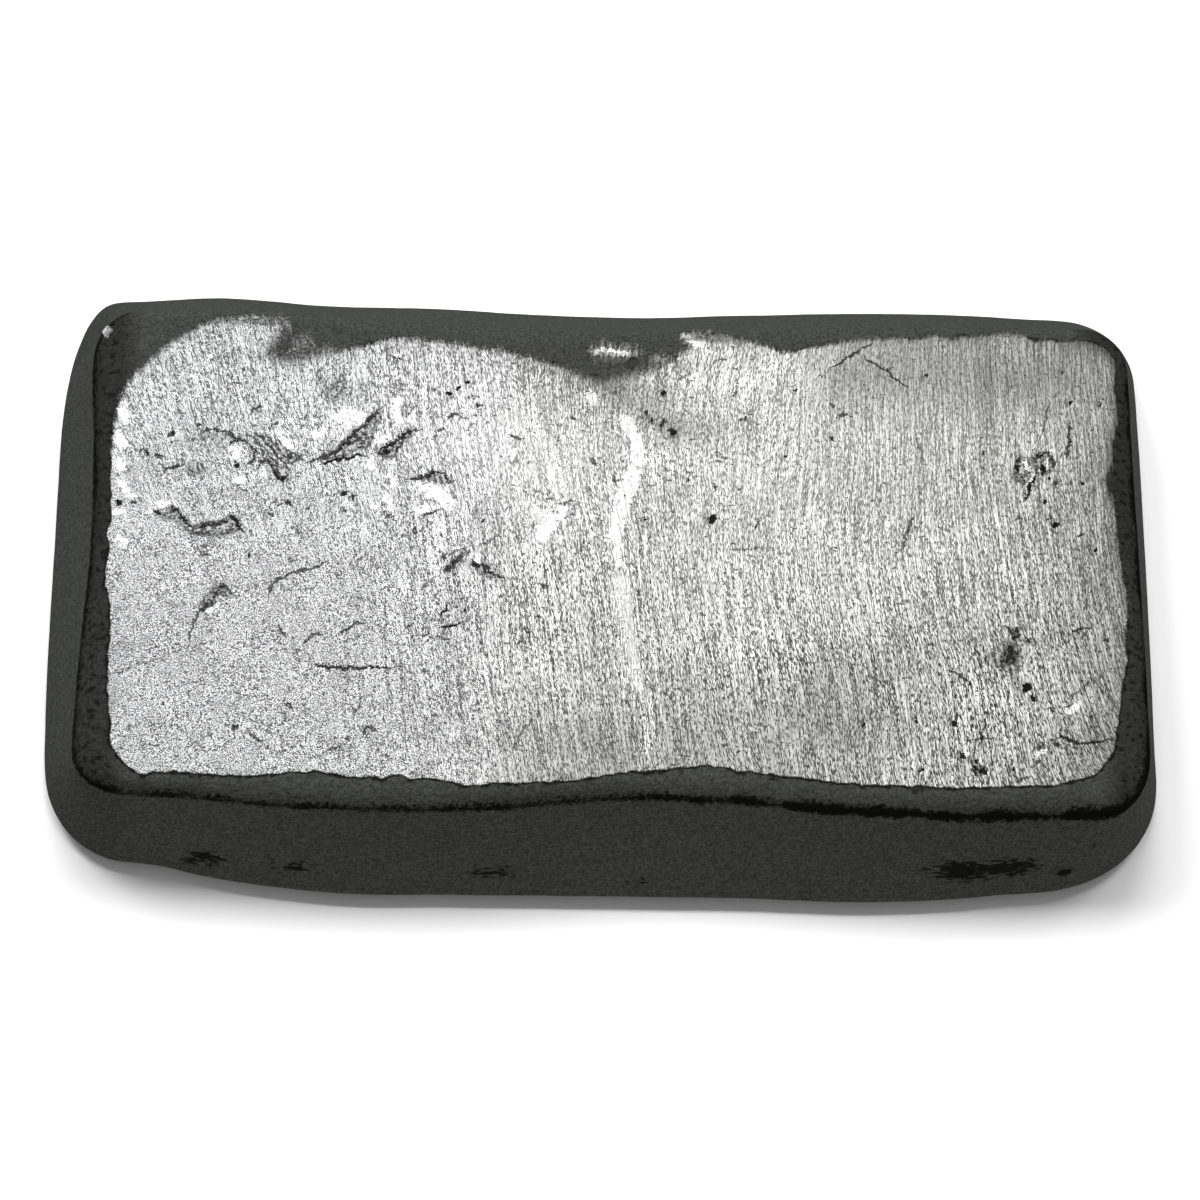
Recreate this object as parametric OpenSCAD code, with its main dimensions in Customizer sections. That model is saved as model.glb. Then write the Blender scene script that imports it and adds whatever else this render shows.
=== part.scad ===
// Poured metal ingot, lying on its wide pour face, as it was turned out of an open mould.
// X runs along the length, Y across the width, and Z up from the resting face.
// Three closed loops shape it: the widest line low on the sides, the crease where the
// leaning sides meet the rolled shoulder, and the edge of the ground top face.

/* [Body] */
// Length at the widest line
body_l = 79; // [60:0.5:120]
// Width at the widest line
body_w = 44.6; // [34:0.2:70]
// Height from the resting face to the top face
body_h = 9.9; // [7:0.1:16]

/* [Mould taper] */
// Lean of each end between the widest line and the crease
end_draft = 2.7; // [1:0.1:5]
// Lean of each long side between the widest line and the crease
side_draft = 4.2; // [2:0.1:7]

/* [Edges] */
// Width in plan of the round edge under the widest line
pour_edge_run = 1.6; // [0.6:0.1:3]
// Height of the widest line above the resting face
pour_edge_rise = 1.3; // [0.5:0.1:2.5]
// Width in plan of the rolled shoulder along the ends
end_shoulder_run = 1.5; // [0.8:0.1:3]
// Width in plan of the rolled shoulder along the long sides
side_shoulder_run = 2; // [1.2:0.1:4]
// Height of the rolled shoulder
shoulder_rise = 1.15; // [0.5:0.05:2]
// Corner size that the corner shares are taken of
corner_size = 10; // [6:0.5:12]

/* [Casting waves] */
// Height of a full wave along the three loops
edge_wave_h = 1; // [0:0.1:1.4]
// Depth of the swells of the top face
swell_depth = 0.14; // [0:0.02:0.4]
// Distance between swells along the length
swell_pitch_x = 27; // [12:1:60]
// Distance between swells across the width
swell_pitch_y = 19; // [12:1:40]

/* [Cold shut] */
// Depth of the scoop where two streams of metal met at the rear edge
scoop_depth = 0.95; // [0:0.05:1.2]
// Reach of the scoop along the length
scoop_reach_x = 5.2; // [3:0.1:9]
// Reach of the scoop across the width
scoop_reach_y = 5; // [3:0.1:9]
// Depth of the valley that runs from the scoop to the front edge
valley_depth = 0.22; // [0:0.02:0.5]
// Reach of the valley along the length
valley_reach = 4.6; // [2.5:0.1:9]

/* [Hidden] */

half_l = body_l / 2;
half_w = body_w / 2;
crease_z = body_h - shoulder_rise;
side_h = crease_z - pour_edge_rise;

// Half length and half width of each loop
outline_half = [half_l, half_w];
base_half = outline_half - [pour_edge_run, pour_edge_run];
crease_half = outline_half - [end_draft, side_draft];
face_half = crease_half - [end_shoulder_run, side_shoulder_run];

// Corner runs along X and Y as shares of the corner size:
// front right, rear right, rear left, front left
outline_corner_shares = [[1, 0.85], [0.55, 0.5], [0.4, 1.25], [0.65, 0.9]];
base_corner_shares = [[0.9, 0.75], [0.45, 0.4], [0.3, 1.15], [0.55, 0.8]];
crease_corner_shares = [[0.35, 0.45], [0.3, 0.3], [0.35, 0.4], [0.45, 0.35]];
face_corner_shares = [[0.35, 0.4], [0.28, 0.28], [0.85, 1], [0.3, 0.28]];

// Waves of each loop as shares of the wave height, out of the body, at even steps along
// the front edge from the left, the right end, the rear edge from the right, the left end
outline_wave_shares = [
    [-2.05, -1.05, -0.3, 0.05, 0.05, 0.05, 0.05, 0.1, 0.1, 0.3, 0.3, 0.05, -0.4],
    [-0.35, -0.2, -0.1, 0, 0],
    [-0.05, 0.2, 0.15, -0.2, -0.55, -0.5, -0.2, -0.2, 0.3, -0.2],
    [-0.25, -0.15, -0.05, 0.05, 0],
];
crease_wave_shares = [
    [-0.5, 0.1, 0.4, 0.1, -0.6, -0.4, 0.3, 0.45, 0.3],
    [0.2, 0.3, 0.3, 0.3, 0.4],
    [0.1, 0.1, -0.1, -0.45, -0.95, -0.7, -0.4, 0.25, 0],
    [-0.2, -0.5, -0.5, 0, 0.3],
];
face_wave_shares = [
    [0.1, 0, 0.2, 0.6, -0.3, -0.6, 0.4, 0.6, 0.4],
    [-0.1, 0.3, 0.1, -0.1, 0.8],
    [0.6, 0.5, 0.1, -0.8, -2.3, -1.4, -0.5, -0.3, 0.4],
    [0.1, 0, -0.1, -0.4, -0.6],
];

// Places of the scoop and of the valley as shares of the half length and half width
scoop_x_share = 0.04;
scoop_y_share = 0.69;
valley_x_share = 0.1;

// Facets along a long side, along an end, round a corner and through each roll
long_steps = 32;
short_steps = 16;
corner_steps = 8;
pour_steps = 4;
side_steps = 3;
shoulder_steps = 5;
top_steps = 10;
edge_steps = [long_steps, short_steps, long_steps, short_steps];
quarter = 90;
turn = 360;

function mix(a, b, t) = a + (b - a) * t;

// Smooth curve through an even table of values, at share t along it, level at both ends
function table_at(table, t) =
    let (
        last = len(table) - 1,
        i = min(floor(t * last), last - 1),
        s = t * last - i,
        before = table[abs(i - 1)],
        from = table[i],
        to = table[i + 1],
        after = table[last - abs(last - i - 2)],
        bend = 2 * before - 5 * from + 4 * to - after,
        twist = 3 * (from - to) + after - before
    )
    from + s * (to - before + s * (bend + s * twist)) / 2;

function bell(t) = exp(-t * t);

function ease(t) = t * t * (3 - 2 * t);

// Point at share s round corner k of a rounded rectangle
function corner_point(half, runs, k, s) =
    let (
        angle = quarter * (k - 1 + s),
        side = [k < 2 ? 1 : -1, k == 1 || k == 2 ? 1 : -1],
        centre = [side.x * (half.x - runs[k].x), side.y * (half.y - runs[k].y)]
    )
    centre + [runs[k].x * cos(angle), runs[k].y * sin(angle)];

// Closed loop of plan points: each edge, then the corner that ends it, with its waves
function loop(half, corner_shares, wave_shares) =
    let (runs = corner_size * corner_shares)
    [
        for (k = [0 : len(edge_steps) - 1])
            let (
                from = corner_point(half, runs, (k + 3) % 4, 1),
                to = corner_point(half, runs, k, 0),
                waves = edge_wave_h * wave_shares[k],
                next_wave = edge_wave_h * wave_shares[(k + 1) % 4][0],
                out = quarter * (k - 1)
            )
            each concat(
                [
                    for (i = [0 : edge_steps[k] - 1])
                        let (s = i / edge_steps[k])
                        mix(from, to, s) + table_at(waves, s) * [cos(out), sin(out)]
                ],
                [
                    for (i = [0 : corner_steps - 1])
                        let (
                            s = i / corner_steps,
                            wave = mix(waves[len(waves) - 1], next_wave, ease(s)),
                            angle = out + quarter * s
                        )
                        corner_point(half, runs, k, s) + wave * [cos(angle), sin(angle)]
                ]
            )
    ];

// How far the top face lies below the full height at a plan point
function dip(p) =
    let (
        scoop_x = (p.x - half_l * scoop_x_share) / scoop_reach_x,
        scoop_y = (p.y - half_w * scoop_y_share) / scoop_reach_y,
        valley_x = (p.x - half_l * valley_x_share) / valley_reach,
        swell = 1 - cos(turn * p.x / swell_pitch_x) * cos(turn * p.y / swell_pitch_y)
    )
    scoop_depth * bell(scoop_x) * bell(scoop_y)
        + valley_depth * bell(valley_x)
        + swell_depth * swell / 2;

function raise(p, z) = [p.x, p.y, z];

outline_loop = loop(outline_half, outline_corner_shares, outline_wave_shares);
base_loop = loop(base_half, base_corner_shares, outline_wave_shares);
crease_loop = loop(crease_half, crease_corner_shares, crease_wave_shares);
face_loop = loop(face_half, face_corner_shares, face_wave_shares);
columns = len(outline_loop);

// Round edge from the resting face out to the widest line
pour_rings = [
    for (i = [0 : pour_steps])
        let (angle = quarter * i / pour_steps)
        [
            for (c = [0 : columns - 1])
                raise(
                    mix(base_loop[c], outline_loop[c], sin(angle)),
                    pour_edge_rise * (1 - cos(angle))
                )
        ]
];

// Leaning sides from the widest line up to the crease
side_rings = [
    for (i = [1 : side_steps])
        let (s = i / side_steps)
        [
            for (c = [0 : columns - 1])
                raise(mix(outline_loop[c], crease_loop[c], s), pour_edge_rise + side_h * s)
        ]
];

// Rolled shoulder, which leaves the crease at the lean of the side and ends level
shoulder_rings = [
    for (i = [1 : shoulder_steps])
        let (s = i / shoulder_steps)
        [
            for (c = [0 : columns - 1])
                let (
                    lean = atan2(side_h, norm(outline_loop[c] - crease_loop[c])),
                    left = lean * (1 - s),
                    inward = 1 - sin(left) / sin(lean),
                    upward = (cos(left) - cos(lean)) / (1 - cos(lean)),
                    p = mix(crease_loop[c], face_loop[c], inward)
                )
                raise(p, crease_z + shoulder_rise * upward - dip(p) * s)
        ]
];

// Top face, closing in on the middle
top_rings = [
    for (i = [1 : top_steps - 1])
        [for (p = face_loop) let (q = p * (1 - i / top_steps)) raise(q, body_h - dip(q))]
];

// Stock under the resting face, which the flat cut takes off
foot_ring = [for (p = base_loop) raise(p, -pour_edge_rise)];

rings = concat([foot_ring], pour_rings, side_rings, shoulder_rings, top_rings);
origin = [0, 0];
base_middle = len(rings) * columns;
top_middle = base_middle + 1;
ingot_points = concat(
    [for (ring = rings) each ring],
    [raise(origin, -pour_edge_rise), raise(origin, body_h - dip(origin))]
);

// Index of a column's point on a ring, counting round past the last column
function at(ring, c) = ring * columns + c % columns;

ingot_faces = [
    for (c = [0 : columns - 1])
        each concat(
            [[base_middle, at(0, c), at(0, c + 1)]],
            [
                for (r = [0 : len(rings) - 2])
                    each [
                        [at(r, c), at(r + 1, c), at(r + 1, c + 1)],
                        [at(r, c), at(r + 1, c + 1), at(r, c + 1)]
                    ]
            ],
            [[top_middle, at(len(rings) - 1, c + 1), at(len(rings) - 1, c)]]
        )
];

module ingot() {
    color("silver") difference() {
        polyhedron(points = ingot_points, faces = ingot_faces);
        translate([-body_l, -body_w, -body_h]) cube([2 * body_l, 2 * body_w, body_h]);
    }
}

ingot();
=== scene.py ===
"""Looks of a poured metal ingot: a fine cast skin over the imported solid, its finish, light and camera."""
import math
from types import SimpleNamespace

import bpy
import numpy as np
from mathutils import Matrix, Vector
from mathutils.bvhtree import BVHTree


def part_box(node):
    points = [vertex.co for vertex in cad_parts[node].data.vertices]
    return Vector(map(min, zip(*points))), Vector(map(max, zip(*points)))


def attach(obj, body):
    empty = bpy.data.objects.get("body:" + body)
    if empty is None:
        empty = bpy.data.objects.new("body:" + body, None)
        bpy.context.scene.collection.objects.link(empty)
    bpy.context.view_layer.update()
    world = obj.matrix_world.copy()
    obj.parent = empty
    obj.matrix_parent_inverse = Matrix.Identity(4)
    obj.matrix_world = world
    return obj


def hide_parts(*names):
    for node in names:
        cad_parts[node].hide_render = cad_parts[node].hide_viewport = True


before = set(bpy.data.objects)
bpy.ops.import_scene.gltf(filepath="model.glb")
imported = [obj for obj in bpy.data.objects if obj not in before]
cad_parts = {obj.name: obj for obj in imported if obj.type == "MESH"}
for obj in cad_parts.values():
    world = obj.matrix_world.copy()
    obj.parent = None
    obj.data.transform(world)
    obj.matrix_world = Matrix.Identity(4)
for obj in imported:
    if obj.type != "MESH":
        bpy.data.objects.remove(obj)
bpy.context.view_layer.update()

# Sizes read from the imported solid; MM is one millimetre of the real bar
LOW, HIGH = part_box("ingot")
LENGTH = HIGH.x - LOW.x
WIDTH = HIGH.y - LOW.y
HEIGHT = HIGH.z - LOW.z
BAR_LENGTH_MM = 79.06
MM = LENGTH / BAR_LENGTH_MM

# Camera, as the photograph was taken: from above, a little to the front and left
PHOTO_SIDE = 1200
SENSOR_MM = 36
LENS_MM = 110.2
CAMERA_TILT = math.radians(19.74)
CAMERA_SIDE = math.radians(4.65)
CAMERA_ROLL = math.radians(0.82)
CAMERA_DISTANCE = 3.3423 * LENGTH
AIM_RIGHT = -0.0047 * LENGTH
AIM_UP = 0.0004 * LENGTH
FOCAL_PIXELS = LENS_MM / SENSOR_MM * PHOTO_SIDE
PIXELS_PER_MM = FOCAL_PIXELS * MM / CAMERA_DISTANCE

# Skin: cells along and across the top, and the heights of the rings round the sides
TOP_CELLS_X = 400
TOP_CELLS_Y = 190
SIDE_LEVEL_SHARES = [
    0.002, 0.016, 0.036, 0.066, 0.1, 0.131, 0.17, 0.24, 0.32, 0.42,
    0.52, 0.62, 0.71, 0.79, 0.845, 0.884,
]
NOMINAL_CORNER = 0.09 * LENGTH
RIM_STEP_MM = 0.195
SIDE_SWELL_MM = 0.03
TOP_MARGIN = 0.005 * MM
# Passes of smoothing, and the cells from the rim to where the calmer middle starts and is full
RING_PASSES = 12
TOP_PASSES = 4
MIDDLE_PASSES = 90
MIDDLE_START = 14
MIDDLE_FADE = 12

# Marks: how far their edges wander and reach, and their depths, in mm
MARK_WOBBLE_MM = 0.1
PIT_WOBBLE_MM = 0.08
SOOT_AND_SHADE_WOBBLE_MM = 0.25
PIT_DEPTH_MM = 0.08
USUAL_RISE_MM = 0.02
LINE_REACH_MM = 0.5
LINE_CLEAR_MM = 1.0
RIM_FADE_MM = 0.8
# Values of points that no mark reaches: mm inside a mark, half widths from a line, contrast
FAR_OUTSIDE = -0.5
NO_LINE = 9.0
BASE_CONTRAST = 0.88
# Dark lines: layers that they are kept in, and the usual dark share
LINE_LAYERS = 6
USUAL_DARK = 0.8

# Grain of the finish in cells per mm; pairs are across and along the strokes
FINE_RATE = 6
RAGGED_RATE = 3.2
BROAD_RATE = 0.3
GRAINS_RATE = 5.5
SPECK_RATE = 12.5
SKIN_RATE = 2.6
COMBED_RATES = (5, 0.5)
HAIR_RATES = (16, 3.2)
GATHERED_RATES = (5.4, 0.26)
LONG_RATES = (7, 0.17)
NICK_RATES = (2.4, 4.2, 1)
STREAK_RATES = (1.6, 2.6, 4)
# Roughness, and height in mm of the finest relief, on the cast skin and the ground metal
SKIN_ROUGHNESS = 0.55
METAL_ROUGHNESS = 0.3
SKIN_BUMP = 0.12
STROKE_BUMP = 0.045

# Soft boxes: name, direction from the bar, distance, width and depth in bar lengths, radiance.
# The bright face mirrors the first two; the keys light the floor and the dark skin.
MIRRORED_BOXES = [
    ("overhead_box", (-0.1, 0.36, 0.93), 4.4, 3.8, 3.4, 1.25),
    ("right_box", (0.5, 0.36, 0.79), 4.4, 1.5, 2.6, 0.1),
]
KEY_BOXES = [
    ("key_box", (-0.05, 0.46, 0.85), 4.6, 1.4, 1.4, 18),
    ("left_key", (-0.42, 0.46, 0.85), 4.6, 1.4, 1.4, 21),
    ("right_key", (0.46, 0.46, 0.85), 4.6, 1.4, 1.4, 12),
]
# Strength of the plain surround, for matt surfaces and as the metal mirrors it
SURROUND = 0.3
MIRRORED_SURROUND = 0.5
FLOOR_REACH = 60 * LENGTH
FLOOR_GAP = 0.02 * MM
FLOOR_GREY = 0.9

# All marks below are placed in pixels of the photograph; depths and rises are in mm.
# Edge of the ground bright face
FACE_EDGE = [
    (105, 584), (110, 611), (108, 680), (110, 740), (114, 752), (124, 764), (142, 773), (183, 771),
    (241, 775), (315, 771), (359, 777), (400, 776), (466, 785), (553, 782), (630, 772), (700, 766),
    (726, 767), (800, 778), (862, 785), (964, 787), (1053, 785), (1092, 775), (1110, 757), (1115, 744),
    (1120, 700), (1126, 660), (1126, 616), (1123, 580), (1117, 522), (1112, 503), (1104, 484),
    (1112, 459), (1118, 418), (1114, 393), (1117, 369), (1110, 353), (1092, 342), (1048, 340),
    (1034, 342), (1023, 335), (995, 334), (977, 339), (930, 338), (891, 341), (863, 341), (834, 345),
    (811, 350), (783, 352), (765, 346), (745, 340), (716, 336), (695, 333), (684, 337), (690, 347),
    (678, 357), (660, 365), (640, 371), (600, 377), (583, 375), (565, 368), (530, 359), (495, 350),
    (460, 344), (434, 342), (399, 339), (381, 341), (360, 349), (325, 353), (297, 359), (270, 357),
    (266, 352), (279, 335), (286, 326), (282, 321), (264, 318), (237, 320), (216, 321), (195, 328),
    (177, 339), (153, 359), (133, 377), (121, 395), (115, 419), (111, 451), (110, 476), (113, 497),
    (110, 525),
]
# Bright metal on the dark shoulder: one patch, and three small ones that are painted glints
BRIGHT_PATCHES_AND_GLINTS = [
    [(590, 351), (600, 346), (625, 347), (641, 352), (636, 358), (610, 358), (592, 357)],
    [(101, 332), (106, 324), (112, 331), (107, 337)], [(298, 343), (303, 339), (307, 344), (302, 347)],
    [(655, 360), (662, 357), (668, 362), (660, 366)],
]
# Where the bright face fades slowly: centre, reach, softness in mm
FEATHERS = [
    ((300, 345), 40, 1.7), ((630, 368), 50, 1.3), ((720, 345), 45, 0.6), ((1112, 490), 34, 0.5),
    ((235, 316), 40, 0.4), ((1122, 600), 60, 0.25), ((540, 360), 50, 0.4), ((160, 350), 40, 0.5),
    ((400, 340), 60, 0.5), ((480, 348), 50, 0.4), ((120, 400), 40, 0.3), ((860, 343), 90, 0.35),
    ((1000, 338), 60, 0.3),
]
# Where the bright face darkens towards its edge: centre, reach, share
EDGE_FADES = [
    ((1118, 430), 90, 0.75), ((1115, 560), 60, 0.5), ((1122, 660), 60, 0.4), ((1098, 345), 50, 0.7),
    ((960, 338), 140, 0.5), ((710, 345), 60, 0.6), ((625, 372), 60, 0.8), ((570, 372), 60, 0.6),
    ((440, 345), 60, 0.4), ((300, 350), 50, 0.7), ((225, 320), 60, 0.5), ((150, 365), 40, 0.4),
    ((1108, 760), 50, 0.5),
]
# Sunk places that the brush did not reach: outline, depth, share of painted shade
HOLLOWS = [
    ([(386, 403), (371, 417), (362, 427), (350, 437), (345, 443), (335, 453), (318, 459), (330, 460),
      (343, 457), (356, 449), (367, 447), (374, 438), (375, 425), (381, 415)], 0.16, 0.75),
    ([(416, 428), (406, 432), (398, 438), (390, 444), (378, 450), (378, 455), (387, 458), (394, 456),
      (400, 447), (405, 440), (417, 432)], 0.14, 0.75),
    ([(406, 481), (415, 480), (424, 476), (434, 472), (445, 471), (455, 481), (448, 485), (438, 484),
      (430, 479)], 0.08, 0.6),
    ([(343, 371), (346, 381), (341, 393), (336, 403), (330, 398), (324, 400), (329, 390), (337, 382)],
      0.12, 0.75),
    ([(270, 441), (280, 444), (290, 454), (299, 452), (301, 458), (293, 462), (284, 458), (275, 450)],
      0.06, 0.6),
    ([(272, 462), (280, 464), (290, 472), (285, 481), (277, 475)], 0.06, 0.6),
    ([(153, 510), (166, 511), (170, 505), (177, 510), (184, 520), (192, 527), (206, 523), (226, 521),
      (229, 513), (235, 520), (243, 531), (234, 531), (225, 535), (212, 537), (200, 534), (190, 530),
      (178, 522), (164, 518)], 0.12, 0.75),
    ([(187, 463), (195, 459), (203, 464), (206, 470), (197, 474), (188, 471)], 0.1, 0.8),
    ([(222, 582), (213, 588), (204, 597), (197, 609), (203, 612), (213, 605), (222, 598), (235, 596)],
      0.1, 0.6),
    ([(1014, 478), (1017, 462), (1021, 455), (1030, 459), (1040, 453), (1048, 452), (1054, 459),
      (1056, 468), (1049, 474), (1040, 472), (1033, 475), (1027, 484), (1021, 478)], 0.1, 0.6),
    ([(444, 572), (450, 564), (458, 558), (466, 553), (468, 558), (460, 563), (449, 573)], 0.08, 0.6),
    ([(474, 561), (484, 566), (495, 573), (506, 577), (496, 579), (484, 573), (474, 566)], 0.08, 0.6),
    ([(1003, 640), (1014, 640), (1026, 650), (1024, 668), (1016, 676), (1004, 672), (992, 666),
      (985, 655), (994, 648)], 0.02, 0.45),
]
# Lapped edges, with the low side on the right of the path: path, width, depth
FOLDS = [
    ([(386, 403), (371, 417), (362, 427), (350, 438), (335, 453), (318, 460)], 4, 0.1),
    ([(416, 428), (398, 438), (384, 447), (377, 451)], 4, 0.1),
    ([(170, 505), (184, 519), (193, 527), (212, 523), (228, 521)], 4, 0.1),
    ([(328, 560), (317, 566), (280, 578), (268, 596)], 4, 0.08),
    ([(444, 572), (456, 560), (470, 551)], 5, 0.08), ([(470, 551), (490, 567), (508, 577)], 5, 0.08),
]
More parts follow.
